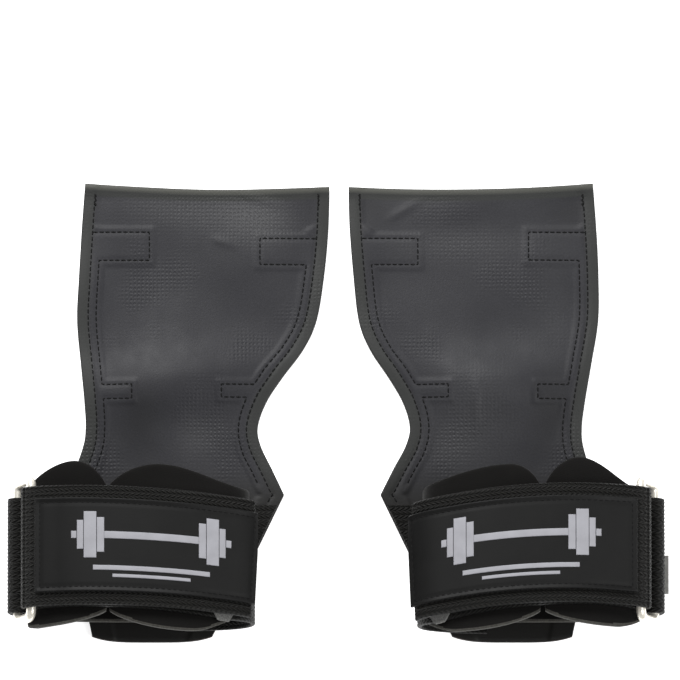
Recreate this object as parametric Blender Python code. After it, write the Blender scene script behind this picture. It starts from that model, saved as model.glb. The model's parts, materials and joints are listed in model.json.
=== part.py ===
"""A pair of lifting hand grips with wrist cuffs, as separate sewn pieces.

Each grip is a stitched two-layer rubber flap whose flared root is sewn under a padded wrist cuff. A webbing
strap passes over the pad, through a rectangular wire ring and back on itself, held by hook-and-loop tape.
Lengths are in metres. +X runs across the pair, +Y from the wrist to the fingertips, +Z up from the table.
A grip is described with x measured outwards from the plane between the two grips, and is then placed on
its own side of that plane, so the two grips mirror each other.
"""

import bisect
import math

import bmesh
import bpy

MM = 0.001
GAP = 0.3 * MM
# The plane between the grips, set so that the box round both, care tag and all, is centred on x = 0.
PAIR_X = 0.2 * MM
# How much further in the cuff is sewn on the right-hand grip than on the left one.
CUFF_SHIFT = {"left": 0.0, "right": 2.4 * MM}

# Flap: two sheets of coated fabric with reinforcement strips sewn between their edges.
BACKING_Z = (0.0, 1.0 * MM)
STRIP_Z = (1.3 * MM, 2.0 * MM)
FACE_Z = (2.3 * MM, 3.3 * MM)
FLAP_HALF_Z = FACE_Z[1] / 2
FLAP_TOP_Y = 95.8 * MM
FLAP_TOP_DIP = 1.8 * MM
ROOT_END_Y = -95.8 * MM
WRIST_FOLD_Y = -12.0 * MM
FINGER_CURL_Y = 52.0 * MM
FOLD_GAP = 4.4 * MM
OUTLINE_STEP = 4.0 * MM
STRIP_INSET = 1.0 * MM
STRIP_WIDTH = 8.0 * MM
STRIP_TOP_Y = 75.3 * MM
STRIP_END_Y = -33.0 * MM
TAB_MARGIN = 0.8 * MM

# The flap's two side edges, as (x, y) points in millimetres joined by one smooth curve down to the flare.
INNER_EDGE = (
    (3.9, 95.8),
    (4.4, 76),
    (6.1, 56),
    (8.7, 38),
    (13.7, 26),
    (22.0, 14),
    (28.1, 4),
    (31.3, -6),
    (30.0, -14),
    (25.0, -24),
    (19.9, -34.5),
)
OUTER_EDGE = (
    (104.9, 95.8),
    (106.3, 76),
    (107.3, 56),
    (107.6, 38),
    (105.4, 20),
    (103.3, 4),
    (102.4, -7),
    (103.6, -16),
    (110.0, -34.5),
)
INNER_ROOT_END = 49.5
OUTER_ROOT_END = 99.0
# The tabs that the strips reach inwards with: (low y, high y, x of the seam at the tab's end).
INNER_TABS = ((61.2, 72.1, 32.6), (5.8, 11.1, 46.8))
OUTER_TABS = ((63.0, 74.7, 78.3), (5.2, 11.1, 83.8))
FLARE_Y = -34.5 * MM
SIDE_SHIFT = 2.8 * MM
SHIFT_Y = (70.0 * MM, -40.0 * MM)

# Wrist cuff: a superellipse ring, its inside measured from the pad's inner face.
CUFF_X = 82.3 * MM
HALF_WIDTH = 41.5 * MM
HALF_HEIGHT = 16.0 * MM
ROUNDNESS = 2.5
PAD = (0.0, 4.0 * MM)
STRAP = (4.3 * MM, 6.1 * MM)
REAR = (6.4 * MM, 8.2 * MM)
LOOP_TAPE = (6.4 * MM, 7.2 * MM)
HOOK_TAPE = (7.5 * MM, 8.3 * MM)
TAIL = (8.6 * MM, 10.4 * MM)
LABEL = (10.7 * MM, 12.0 * MM)
PRINT = (12.3 * MM, 12.8 * MM)
CUFF_Z = FACE_Z[1] + GAP + REAR[1] + HALF_HEIGHT
WEBBING = 1.8 * MM
WEBBING_WIDTH = 50.0 * MM
TAPE_WIDTH = 45.0 * MM
LABEL_WIDTH = 39.2 * MM
CUFF_Y = -62.0 * MM
REAR_EDGES = (-25.0 * MM, 22.8 * MM)
REAR_INSET = 0.4 * MM
LOOP_EDGES = (-25.2 * MM, 22.5 * MM)

# Ring: a rectangle of round wire, its two long bars wrapped by webbing.
WIRE = 2.0 * MM
RING_LENGTH = 57.0 * MM
RING_SPAN = 16.0 * MM
RING_CORNER = 3.2 * MM
RING_SIDES = 8
BAR_OFFSET = (STRAP[0] + STRAP[1]) / 2 + WIRE + GAP + WEBBING / 2
WRAP_RADIUS = WIRE + GAP + WEBBING / 2
RING_ANGLE = 0.434

# Places round the cuff, as superellipse angles: 0 at the ring, pi/2 on top, pi inside, 3 pi/2 on the table side.
NOTCH = {"left": 1.345, "right": 1.52}
NOTCH_HALF = 0.016
TAIL_END = {"left": 2.72, "right": 2.80}
TAIL_GAP_ANGLE = 0.14
TAIL_SETTLE_ANGLE = 0.44
TAIL_LIFT = 2.5 * MM
TAIL_LIFT_ANGLES = (2.2, 2.8)
# The strap and its tail lie askew: they bow a little on top, and drop towards the tail's free end.
BOW = {"left": 0.9 * MM, "right": 2.4 * MM}
DROP = {"left": 5.0 * MM, "right": 6.0 * MM}
TAPE_START = 0.95
MARK_ANGLES = (1.22, 2.06)
# The mark's half width up to each share of its length, the same from both ends.
MARK_STEPS = ((0.06, 1.6 * MM), (0.13, 5.0 * MM), (0.24, 8.5 * MM), (0.5, 1.6 * MM))
STRAP_START = 4.35
STRAP_STEP = 3.0 * MM
LOOP_END_ANGLE = -1.05
LOOP_SETTLE = 0.8
REAR_CURVE = (4.76, 5.14)
REAR_FLAT_END = 2.0 * MM
TAG_SIZE = (16.0 * MM, 16.0 * MM, 0.6 * MM)
TAG_Y = -15.0 * MM
TAG_ANGLE = -0.62
TAG_LIFT = 1.7 * MM
TAG_LEAN = 0.36

# The pad's edges, and how its two wings rise from them: crest and end measured from the notch, then height, for
# the wing on the inside and the wing on the ring's side.
PAD_Y = (-88.5 * MM, -36.5 * MM)
HIGH_WINGS = {
    "left": ((20.0 * MM, 58.0 * MM, 8.6 * MM), (13.0 * MM, 42.0 * MM, 10.2 * MM)),
    "right": ((12.0 * MM, 60.0 * MM, 8.6 * MM), (14.0 * MM, 40.0 * MM, 11.6 * MM)),
}
LOW_WINGS = ((34.0 * MM, 62.0 * MM, -7.3 * MM), (30.0 * MM, 52.0 * MM, -5.5 * MM))

COLOURS = {
    "flap_rubber": ((0.070, 0.070, 0.080), 0.55, 0.0),
    "backing_rubber": ((0.030, 0.030, 0.032), 0.7, 0.0),
    "reinforcement": ((0.040, 0.040, 0.042), 0.8, 0.0),
    "neoprene": ((0.012, 0.011, 0.011), 0.85, 0.0),
    "webbing": ((0.010, 0.010, 0.009), 0.8, 0.0),
    "tape": ((0.016, 0.016, 0.016), 0.9, 0.0),
    "ring_metal": ((0.85, 0.83, 0.78), 0.12, 1.0),
    "label_rubber": ((0.022, 0.022, 0.022), 0.5, 0.0),
    "label_print": ((0.62, 0.62, 0.66), 0.5, 0.0),
    "tag_fabric": ((0.40, 0.40, 0.38), 0.9, 0.0),
}


def clear_scene():
    for obj in list(bpy.data.objects):
        bpy.data.objects.remove(obj, do_unlink=True)


def make_materials():
    made = {}
    for name, (colour, roughness, metallic) in COLOURS.items():
        material = bpy.data.materials.new(name)
        material.use_nodes = True
        shader = material.node_tree.nodes["Principled BSDF"]
        shader.inputs["Base Color"].default_value = (*colour, 1.0)
        shader.inputs["Roughness"].default_value = roughness
        shader.inputs["Metallic"].default_value = metallic
        made[name] = material
    return made


def smoothstep(t):
    t = min(max(t, 0.0), 1.0)
    return t * t * (3 - 2 * t)


def lerp(a, b, t):
    return a + (b - a) * t


# ---------------------------------------------------------------- placing pieces


class Grip:
    """One grip: its side of the pair, and an empty on each joint's axis that the moving pieces hang from."""

    def __init__(self, side, materials):
        self.side = side
        self.sign = 1 if side == "right" else -1
        self.origin = PAIR_X - self.sign * CUFF_SHIFT[side]
        self.materials = materials
        self.pivots = {}

    def world(self, point):
        return (self.origin + self.sign * point[0], point[1], point[2])

    def add_pivot(self, body, point, parent=None):
        empty = bpy.data.objects.new(f"{self.side}_{body}_axis", None)
        bpy.context.scene.collection.objects.link(empty)
        place = self.world(point)
        if parent:
            empty.parent = self.pivots[parent][0]
            origin = self.pivots[parent][1]
            empty.location = [a - b for a, b in zip(place, origin)]
        else:
            empty.location = place
        self.pivots[body] = (empty, place)

    def add(self, name, points, faces, material, body, smooth=True):
        """A closed mesh from points in the grip's own coordinates, hung from its body's pivot."""
        parent, origin = self.pivots[body]
        mesh = bpy.data.meshes.new(f"{self.side}_{name}")
        placed = [[a - b for a, b in zip(self.world(p), origin)] for p in points]
        mesh.from_pydata(placed, [], faces)
        shaped = bmesh.new()
        shaped.from_mesh(mesh)
        bmesh.ops.recalc_face_normals(shaped, faces=shaped.faces)
        shaped.to_mesh(mesh)
        shaped.free()
        if smooth:
            mesh.shade_smooth()
            mesh.set_sharp_from_angle(angle=math.radians(35))
        mesh.materials.append(self.materials[material])
        obj = bpy.data.objects.new(f"{self.side}_{name}", mesh)
        bpy.context.scene.collection.objects.link(obj)
        obj.parent = parent
        return obj


def plate(outline, z_range):
    """Points and faces of a flat plate with this (x, y) outline."""
    count = len(outline)
    points = [(x, y, z) for z in z_range for x, y in outline]
    sides = [(i, (i + 1) % count, count + (i + 1) % count, count + i) for i in range(count)]
    return points, [tuple(range(count)), tuple(range(count, 2 * count)), *sides]


def band(path, thickness, y_low, y_high):
    """Points and faces of a strip whose (x, z) centre line is path and whose edges are functions of 0..1 along it."""
    last = len(path) - 1
    points = []
    for i, (x, z) in enumerate(path):
        ahead, behind = path[min(i + 1, last)], path[max(i - 1, 0)]
        tx, tz = ahead[0] - behind[0], ahead[1] - behind[1]
        half = thickness / 2 / math.hypot(tx, tz)
        for side in (-1, 1):
            for y in (y_low(i / last), y_high(i / last)):
                points.append((x - side * tz * half, y, z + side * tx * half))
    corners = (0, 1, 3, 2)
    rims = list(zip(corners, corners[1:] + corners[:1]))
    faces = [(4 * i + a, 4 * i + b, 4 * i + b + 4, 4 * i + a + 4) for i in range(last) for a, b in rims]
    return points, faces + [corners, tuple(4 * last + corner for corner in corners)]


# ---------------------------------------------------------------- the flap


def smooth_curve(points, steps=6):
    """A Catmull-Rom curve through the points."""
    padded = [points[0], *points, points[-1]]
    found = []
    for a, b, c, d in zip(padded, padded[1:], padded[2:], padded[3:]):
        for k in range(steps):
            t = k / steps
            found.append(
                tuple(
                    0.5 * (2 * q + (r - p) * t + (2 * p - 5 * q + 4 * r - s) * t * t + (3 * q - p - 3 * r + s) * t**3)
                    for p, q, r, s in zip(a, b, c, d)
                )
            )
    return found + [points[-1]]


class Edge:
    """A side edge of the flap: x at a given y. toward is +1 or -1 inwards, and each tab is (low y, high y, end x)."""

    def __init__(self, points, root_end, tabs, toward, grip):
        curve = smooth_curve(points)
        self.heights = [-y * MM for _, y in curve]
        self.places = [x * MM for x, _ in curve]
        self.flare_x, self.root_x = self.places[-1], root_end * MM
        self.toward = toward
        self.offset = CUFF_SHIFT[grip.side]
        self.shift = -grip.sign * SIDE_SHIFT
        self.tabs = [self.tab(low * MM, high * MM, end * MM) for low, high, end in tabs]

    def tab(self, low, high, end):
        reach = end + self.toward * TAB_MARGIN + self.skew(low)
        return low - TAB_MARGIN, high + TAB_MARGIN, reach

    def skew(self, y):
        return self.offset + self.shift * smoothstep((SHIFT_Y[0] - y) / (SHIFT_Y[0] - SHIFT_Y[1]))

    def at(self, y):
        if y < FLARE_Y:
            x = lerp(self.flare_x, self.root_x, (FLARE_Y - y) / (FLARE_Y - ROOT_END_Y))
        else:
            i = min(max(bisect.bisect(self.heights, -y), 1), len(self.heights) - 1)
            low, high = self.heights[i - 1], self.heights[i]
            t = min(max((-y - low) / (high - low), 0.0), 1.0)
            x = lerp(self.places[i - 1], self.places[i], t)
        return x + self.skew(y)


def stations(low, high):
    """Heights from low to high at even steps, with the flare's own height kept exactly."""
    stops = [low, FLARE_Y, high] if low < FLARE_Y < high else [low, high]
    found = [low]
    for a, b in zip(stops, stops[1:]):
        count = max(1, round((b - a) / OUTLINE_STEP))
        found += [lerp(a, b, (k + 1) / count) for k in range(count)]
    return found


def sheet_outline(inner, outer, low, high):
    """The flap's outline between two heights; its top edge dips a little in the middle."""
    rows = stations(low, high)
    right = [(outer.at(y), y) for y in rows]
    left = [(inner.at(y), y) for y in reversed(rows)]
    top = []
    if high >= FLAP_TOP_Y:
        start, end = right[-1][0], left[0][0]
        top = [(lerp(start, end, k / 8), high - FLAP_TOP_DIP * math.sin(math.pi * k / 8)) for k in range(1, 8)]
    return right + top + left


def strip_outline(edge, low, high):
    """A reinforcement strip along one edge, with the tabs that reach in from it."""
    tabs = [tab for tab in edge.tabs if low <= tab[0] and tab[1] <= high]
    rows = stations(low, high)
    outline = [(edge.at(y) + edge.toward * STRIP_INSET, y) for y in rows]
    plain = [y for y in rows if not any(tab_low - MM < y < tab_high + MM for tab_low, tab_high, _ in tabs)]
    inside = [(y, edge.at(y) + edge.toward * STRIP_WIDTH) for y in plain]
    for tab_low, tab_high, end in tabs:
        for y, step in ((tab_low, 0.1 * MM), (tab_high, -0.1 * MM)):
            inside += [(y, edge.at(y) + edge.toward * STRIP_WIDTH), (y + step, end)]
    return outline + [(x, y) for y, x in sorted(inside, reverse=True)]


def build_flap(grip):
    inner = Edge(INNER_EDGE, INNER_ROOT_END, INNER_TABS, 1, grip)
    outer = Edge(OUTER_EDGE, OUTER_ROOT_END, OUTER_TABS, -1, grip)
    half_gap = FOLD_GAP / 2
    spans = {
        "root": (ROOT_END_Y, WRIST_FOLD_Y - half_gap, "cuff"),
        "palm": (WRIST_FOLD_Y + half_gap, FINGER_CURL_Y - half_gap, "palm"),
        "finger": (FINGER_CURL_Y + half_gap, FLAP_TOP_Y, "finger"),
    }
    for part, (low, high, body) in spans.items():
        outline = sheet_outline(inner, outer, low, high)
        grip.add(f"flap_face_{part}", *plate(outline, FACE_Z), "flap_rubber", body)
        grip.add(f"flap_backing_{part}", *plate(outline, BACKING_Z), "backing_rubber", body)
        for where, edge in (("inner", inner), ("outer", outer)):
            outline = strip_outline(edge, max(low, STRIP_END_Y), min(high, STRIP_TOP_Y + TAB_MARGIN))
            grip.add(f"{where}_strip_{part}", *plate(outline, STRIP_Z), "reinforcement", body)
    return inner


# ---------------------------------------------------------------- the cuff's section


def cuff_point(angle, offset):
    """The (x, z) point at this offset outside the pad's inner face, and the outward normal there."""
    c, s = math.cos(angle), math.sin(angle)
    x = math.copysign(abs(c) ** (2 / ROUNDNESS), c)
    z = math.copysign(abs(s) ** (2 / ROUNDNESS), s)
    nx = math.copysign(abs(x) ** (ROUNDNESS - 1), x) / HALF_WIDTH
    nz = math.copysign(abs(z) ** (ROUNDNESS - 1), z) / HALF_HEIGHT
    size = math.hypot(nx, nz)
    nx, nz = nx / size, nz / size
    return (CUFF_X + HALF_WIDTH * x + nx * offset, CUFF_Z + HALF_HEIGHT * z + nz * offset), (nx, nz)


def resampled(points, step):
    """The same line with its points a step apart."""
    lengths = [0.0]
    for a, b in zip(points, points[1:]):
        lengths.append(lengths[-1] + math.dist(a, b))
    count = max(2, round(lengths[-1] / step))
    found = []
    for k in range(count + 1):
        target = lengths[-1] * k / count
        i = min(max(bisect.bisect(lengths, target), 1), len(points) - 1)
        t = (target - lengths[i - 1]) / (lengths[i] - lengths[i - 1])
        found.append(tuple(lerp(p, q, t) for p, q in zip(points[i - 1], points[i])))
    return found


def cuff_path(start, end, offset, samples=240):
    """A line round the cuff between two angles; offset is a number or a function of 0..1."""
    found = []
    for k in range(samples + 1):
        t = k / samples
        away = offset(t) if callable(offset) else offset
        found.append(cuff_point(lerp(start, end, t), away)[0])
    return found


def wrap(centre, start, turn, steps=10):
    """The line of webbing round a ring bar, from the direction start, turning by turn radians."""
    first = math.atan2(start[1], start[0])
    angles = [first + turn * k / steps for k in range(steps + 1)]
    return [(centre[0] + WRAP_RADIUS * math.cos(a), centre[1] + WRAP_RADIUS * math.sin(a)) for a in angles]


def middle(layer):
    return (layer[0] + layer[1]) / 2


def ring_bars():
    """The (x, z) centres of the strap's bar above and the loop's bar below, and the lower bar's angle."""
    upper = cuff_point(RING_ANGLE, BAR_OFFSET)[0]
    low, high = RING_ANGLE - 1.8, RING_ANGLE
    for _ in range(50):
        angle = middle((low, high))
        if math.dist(cuff_point(angle, BAR_OFFSET)[0], upper) > RING_SPAN:
            low = angle
        else:
            high = angle
    return upper, cuff_point(low, BAR_OFFSET)[0], low


# ---------------------------------------------------------------- the cuff's pieces


def lobe(away, crest, end):
    """A wing's rounded end: 0 at the notch, 1 at its crest and easing back to 0."""
    if away < crest:
        return (1 - ((crest - away) / crest) ** 2) ** 0.8
    return 1 - smoothstep((away - crest) / (end - crest))


def build_pad(grip):
    """One piece of neoprene that bends round the wrist; its two rounded wings meet on top at the notch."""
    notch = NOTCH[grip.side]
    start, end = notch + NOTCH_HALF, notch + 2 * math.pi - NOTCH_HALF
    path = resampled(cuff_path(start, end, middle(PAD)), STRAP_STEP)
    length = STRAP_STEP * (len(path) - 1)

    def edge(base, wings):
        inside, ring_side = wings

        def at(t):
            rise = inside[2] * lobe(t * length, *inside[:2]) + ring_side[2] * lobe((1 - t) * length, *ring_side[:2])
            return base + rise

        return at

    low, high = edge(PAD_Y[0], LOW_WINGS), edge(PAD_Y[1], HIGH_WINGS[grip.side])
    grip.add("wrist_pad", *band(path, PAD[1] - PAD[0], low, high), "neoprene", "cuff")


def straight_edges(low, high):
    """The two edges of a band that runs square round the cuff, from its edges measured from the cuff's middle."""
    return (lambda t: CUFF_Y + low), (lambda t: CUFF_Y + high)


def askew_edges(grip, width, start, end):
    """The two edges, over 0..1, of a band that lies askew between two cuff angles."""

    def shift(t):
        share = (lerp(start, end, t) - RING_ANGLE) / (TAIL_END[grip.side] - RING_ANGLE)
        share = min(max(share, 0.0), 1.0)
        return BOW[grip.side] * math.sin(math.pi * share) - DROP[grip.side] * share**1.6

    return (lambda t: CUFF_Y + shift(t) - width / 2), (lambda t: CUFF_Y + shift(t) + width / 2)


def build_rear_webbing(grip, inner):
    """Webbing sewn flat on the flap's root and trimmed along its slanted edge, curving up on the ring side."""
    z = CUFF_Z - HALF_HEIGHT - middle(REAR)
    flat_end = CUFF_X + REAR_FLAT_END
    curve = [point for point in resampled(cuff_path(*REAR_CURVE, middle(REAR)), STRAP_STEP) if point[0] > flat_end + MM]
    path = [(inner.at(CUFF_Y), z), (flat_end, z), *curve]
    points, faces = band(path, WEBBING, *straight_edges(*REAR_EDGES))
    trimmed = [(inner.at(y) + REAR_INSET, y, height) for _, y, height in points[:4]]
    grip.add("rear_webbing", trimmed + points[4:], faces, "webbing", "cuff")


def build_ring_loop(grip, bar, angle):
    """Short webbing folded round the ring's lower bar, both legs sewn to the cuff's rear."""
    normal = cuff_point(angle, 0.0)[1]
    inner_leg = cuff_path(LOOP_END_ANGLE, angle, middle(STRAP))
    arc = wrap(bar, (-normal[0], -normal[1]), -math.pi)
    wide = BAR_OFFSET + WRAP_RADIUS
    outer_leg = cuff_path(angle, LOOP_END_ANGLE, lambda t: lerp(wide, middle(REAR), smoothstep(t / LOOP_SETTLE)))
    path = resampled(inner_leg, STRAP_STEP)[:-1] + arc + resampled(outer_leg, STRAP_STEP)[1:]
    grip.add("ring_loop", *band(path, WEBBING, *straight_edges(*LOOP_EDGES)), "webbing", "cuff")


def build_ring(grip, upper, lower):
    """A closed rectangle of round wire with rounded corners: y and u run along its sides, w through it."""
    up = ((upper[0] - lower[0]) / RING_SPAN, (upper[1] - lower[1]) / RING_SPAN)
    out = (up[1], -up[0])
    line = []
    for corner, (sy, su) in enumerate(((1, 1), (-1, 1), (-1, -1), (1, -1))):
        for k in range(5):
            angle = math.pi / 2 * (corner + k / 4)
            y = sy * (RING_LENGTH / 2 - RING_CORNER) + RING_CORNER * math.cos(angle)
            u = su * (RING_SPAN / 2 - RING_CORNER) + RING_CORNER * math.sin(angle)
            line.append((y, u, math.cos(angle), math.sin(angle)))
    cx, cz = (upper[0] + lower[0]) / 2, (upper[1] + lower[1]) / 2
    points = []
    for y, u, dy, du in line:
        for k in range(RING_SIDES):
            turn = 2 * math.pi * k / RING_SIDES
            r, w = WIRE * math.cos(turn), WIRE * math.sin(turn)
            across = u + du * r
            points.append((cx + up[0] * across + out[0] * w, CUFF_Y + y + dy * r, cz + up[1] * across + out[1] * w))
    faces = []
    for i in range(len(line)):
        a, b = i * RING_SIDES, (i + 1) % len(line) * RING_SIDES
        for k, j in zip(range(RING_SIDES), (*range(1, RING_SIDES), 0)):
            faces.append((a + k, a + j, b + j, b + k))
    grip.add("ring", points, faces, "ring_metal", "ring")


def tail_path(offset, start, end):
    """A line in the tail's stack: it comes off the ring's bar, settles on the strap and lifts at its free end."""
    wide = BAR_OFFSET + WRAP_RADIUS - middle(TAIL)
    lift_start, lift_end = TAIL_LIFT_ANGLES

    def away(t):
        angle = lerp(start, end, t)
        settling = 1 - smoothstep((angle - RING_ANGLE) / TAIL_SETTLE_ANGLE)
        return offset + wide * settling + TAIL_LIFT * smoothstep((angle - lift_start) / (lift_end - lift_start))

    return cuff_path(start, end, away)


def build_strap(grip, upper):
    """The strap's three stretches: over the wings, round the ring's upper bar, and back as the tail."""
    start, end = RING_ANGLE + TAIL_GAP_ANGLE, TAIL_END[grip.side]
    near_bar = RING_ANGLE + 0.012
    front = resampled(cuff_path(STRAP_START, near_bar, middle(STRAP)), STRAP_STEP)
    edges = askew_edges(grip, WEBBING_WIDTH, STRAP_START, near_bar)
    grip.add("strap_front", *band(front, WEBBING, *edges), "webbing", "cuff")
    normal = cuff_point(RING_ANGLE, 0.0)[1]
    fold = wrap(upper, (-normal[0], -normal[1]), math.pi)
    edges = straight_edges(-WEBBING_WIDTH / 2, WEBBING_WIDTH / 2)
    grip.add("strap_fold", *band(fold, WEBBING, *edges), "webbing", "ring")
    tail = resampled(tail_path(middle(TAIL), start, end), STRAP_STEP)
    grip.add("strap_tail", *band(tail, WEBBING, *askew_edges(grip, WEBBING_WIDTH, start, end)), "webbing", "tail")


def build_closure(grip):
    """Loop tape on the strap and hook tape under the tail, both a little shorter than the tail."""
    end = TAIL_END[grip.side] - 0.05
    edges = askew_edges(grip, TAPE_WIDTH, TAPE_START, end)
    loop = resampled(cuff_path(TAPE_START, end, middle(LOOP_TAPE)), STRAP_STEP)
    grip.add("loop_tape", *band(loop, LOOP_TAPE[1] - LOOP_TAPE[0], *edges), "tape", "cuff")
    hook = resampled(tail_path(middle(HOOK_TAPE), TAPE_START, end), STRAP_STEP)
    grip.add("hook_tape", *band(hook, HOOK_TAPE[1] - HOOK_TAPE[0], *edges), "tape", "tail")


def build_label(grip):
    """A moulded rubber patch sewn on the tail, with a raised barbell mark."""
    start, end = RING_ANGLE + TAIL_GAP_ANGLE + 0.02, TAIL_END[grip.side]
    path = resampled(tail_path(middle(LABEL), start, end), STRAP_STEP)
    edges = askew_edges(grip, LABEL_WIDTH, start, end)
    grip.add("label_patch", *band(path, LABEL[1] - LABEL[0], *edges), "label_rubber", "tail")
    path = resampled(tail_path(middle(PRINT), *MARK_ANGLES), MM)
    low, high = askew_edges(grip, 0.0, *MARK_ANGLES)

    def half(t):
        return next(width for share, width in MARK_STEPS if min(t, 1 - t) <= share)

    sides = (lambda t: low(t) - half(t)), (lambda t: high(t) + half(t))
    grip.add("label_print", *band(path, PRINT[1] - PRINT[0], *sides), "label_print", "tail", smooth=False)


def tag_line():
    """The care tag's (x, z) centre line, springing outwards from the loop's outer leg."""
    start, normal = cuff_point(TAG_ANGLE, REAR[1] + TAG_LIFT)
    c, s = math.cos(TAG_LEAN), math.sin(TAG_LEAN)
    along = (normal[0] * s - normal[1] * c, normal[1] * s + normal[0] * c)
    length = TAG_SIZE[1]
    return [(start[0] + along[0] * length * t, start[1] + along[1] * length * t) for t in (0, 0.5, 1)]


def build_tag(grip):
    edges = straight_edges(TAG_Y, TAG_Y + TAG_SIZE[0])
    grip.add("care_tag", *band(tag_line(), TAG_SIZE[2], *edges), "tag_fabric", "tag")


def build_grip(side, materials):
    grip = Grip(side, materials)
    upper, lower, lower_angle = ring_bars()
    grip.add_pivot("cuff", (CUFF_X, CUFF_Y, 0.0))
    grip.add_pivot("palm", (CUFF_X, WRIST_FOLD_Y, FLAP_HALF_Z), "cuff")
    grip.add_pivot("finger", (CUFF_X, FINGER_CURL_Y, FLAP_HALF_Z), "palm")
    grip.add_pivot("ring", (lower[0], CUFF_Y, lower[1]), "cuff")
    grip.add_pivot("tail", (upper[0], CUFF_Y, upper[1]), "ring")
    inner = build_flap(grip)
    build_pad(grip)
    build_rear_webbing(grip, inner)
    build_ring_loop(grip, lower, lower_angle)
    build_ring(grip, upper, lower)
    build_strap(grip, upper)
    build_closure(grip)
    build_label(grip)
    if side == "right":
        root = tag_line()[0]
        grip.add_pivot("tag", (root[0], CUFF_Y, root[1]), "cuff")
        build_tag(grip)


def main():
    clear_scene()
    materials = make_materials()
    for side in ("left", "right"):
        build_grip(side, materials)


main()
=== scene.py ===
import json
import math

import bpy
import numpy as np
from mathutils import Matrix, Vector


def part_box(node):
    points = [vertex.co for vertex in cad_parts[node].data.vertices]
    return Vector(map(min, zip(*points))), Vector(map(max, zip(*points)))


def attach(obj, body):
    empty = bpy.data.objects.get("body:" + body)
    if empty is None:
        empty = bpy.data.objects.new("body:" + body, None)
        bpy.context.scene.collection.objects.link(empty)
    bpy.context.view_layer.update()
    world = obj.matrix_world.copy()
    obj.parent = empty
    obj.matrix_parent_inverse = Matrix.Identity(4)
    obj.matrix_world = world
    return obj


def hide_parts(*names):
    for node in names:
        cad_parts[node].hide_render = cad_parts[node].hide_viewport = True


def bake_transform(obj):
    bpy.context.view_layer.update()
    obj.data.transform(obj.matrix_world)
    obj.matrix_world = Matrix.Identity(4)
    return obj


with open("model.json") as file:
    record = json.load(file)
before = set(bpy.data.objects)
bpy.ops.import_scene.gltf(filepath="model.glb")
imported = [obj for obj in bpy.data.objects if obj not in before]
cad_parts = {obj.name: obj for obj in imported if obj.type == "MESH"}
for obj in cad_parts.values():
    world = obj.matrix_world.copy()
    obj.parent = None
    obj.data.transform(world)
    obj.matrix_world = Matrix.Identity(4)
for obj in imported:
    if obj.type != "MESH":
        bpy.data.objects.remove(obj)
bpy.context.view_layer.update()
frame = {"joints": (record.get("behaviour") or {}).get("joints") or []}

# A pair of lifting hand grips: stitched rubber palm flaps on padded wrist cuffs, closed by a webbing strap
# through a wire ring. Lengths are in metres. A grip is described with x measured outwards from the plane
# between the two grips, and Grip.world places it on its own side of that plane.

MM = 0.001
SIDES = {"left": -1, "right": 1}
JOINTS = {joint["name"]: joint for joint in frame["joints"]}


def smoothstep(t):
    t = np.clip(t, 0.0, 1.0)
    return t * t * (3 - 2 * t)


def lerp(a, b, t):
    return a + (b - a) * t


def middle(layer):
    return (layer[0] + layer[1]) / 2


def height_range(node):
    """The lowest and highest z of a CAD node."""
    return tuple(corner.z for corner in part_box(node))


CUFF_X = 82.3 * MM
PAIR_X = JOINTS["left_wrist_fold"]["pos_m"][0] + CUFF_X
# How much further in the cuff is sewn on the right-hand grip than on the left one
CUFF_SHIFT = {"left": 0.0, "right": PAIR_X + CUFF_X - JOINTS["right_wrist_fold"]["pos_m"][0]}

# Flap: its heights, and its two side edges as (x, y) points in millimetres joined by one smooth curve
FACE_Z = height_range("right_flap_face_palm")
BACKING_TOP = height_range("right_flap_backing_palm")[1]
STRIP_Z = height_range("right_inner_strip_palm")
SINK = 0.4 * MM
CLEARANCE = 0.05 * MM
ROOT_END_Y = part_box("right_flap_face_root")[0].y
FLAP_TOP_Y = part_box("right_flap_face_finger")[1].y
FLAP_TOP_TRIM = 0.8 * MM
FLAP_TOP_DIP = 1.8 * MM
FLAP_TOP_SLOPE = 1.4 * MM
TOP_EASE_Y = 70 * MM
ROOT_ROUNDING = 2.4 * MM
ROOT_EASE_Y = -80 * MM
WRIST_FOLD_Y = JOINTS["right_wrist_fold"]["pos_m"][1]
FINGER_CURL_Y = JOINTS["right_finger_curl"]["pos_m"][1]
FOLD_REACH = 9 * MM
SPLIT_Y = (WRIST_FOLD_Y + FINGER_CURL_Y) / 2
FLAP_CELL = 0.9 * MM
FLAP_MARGIN = 1.2 * MM
CUT_ROUNDING = 0.5 * MM
CUT_THICKNESS = 0.45
INNER_EDGE = (
    (3.9, 95.8), (4.4, 76), (6.1, 56), (8.7, 38), (13.7, 26), (22.0, 14),
    (28.1, 4), (31.3, -6), (30.0, -14), (25.0, -24), (19.9, -34.5),
)
OUTER_EDGE = (
    (104.9, 95.8), (106.3, 76), (107.3, 56), (107.6, 38), (105.4, 20),
    (103.3, 4), (102.4, -7), (103.6, -16), (110.0, -34.5),
)
INNER_ROOT_END = 49.5
OUTER_ROOT_END = 99.0
FLARE_Y = -34.5 * MM
SIDE_SHIFT = 2.8 * MM
SHIFT_Y = (70 * MM, -40 * MM)

# How the flap stands off the table: free above PRESSED_Y, with a hump at its neck and a lip at its top.
# Ripples are (height, wavelength along x and along y, phase)
PRESSED_Y = -24 * MM
FREE_REACH = 30 * MM
FLAP_GAP = 0.5 * MM
CROWN = 0.9 * MM
HUMP = 3.6 * MM
HUMP_Y = 13 * MM
HUMP_REACH = 14 * MM
HUMP_SPREAD = 0.8
LIP = 0.9 * MM
LIP_Y = 88 * MM
LIP_REACH = 8 * MM
RIPPLES = ((0.30 * MM, 61 * MM, 83 * MM, 1.3), (0.22 * MM, -97 * MM, 44 * MM, -1.3))
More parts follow.
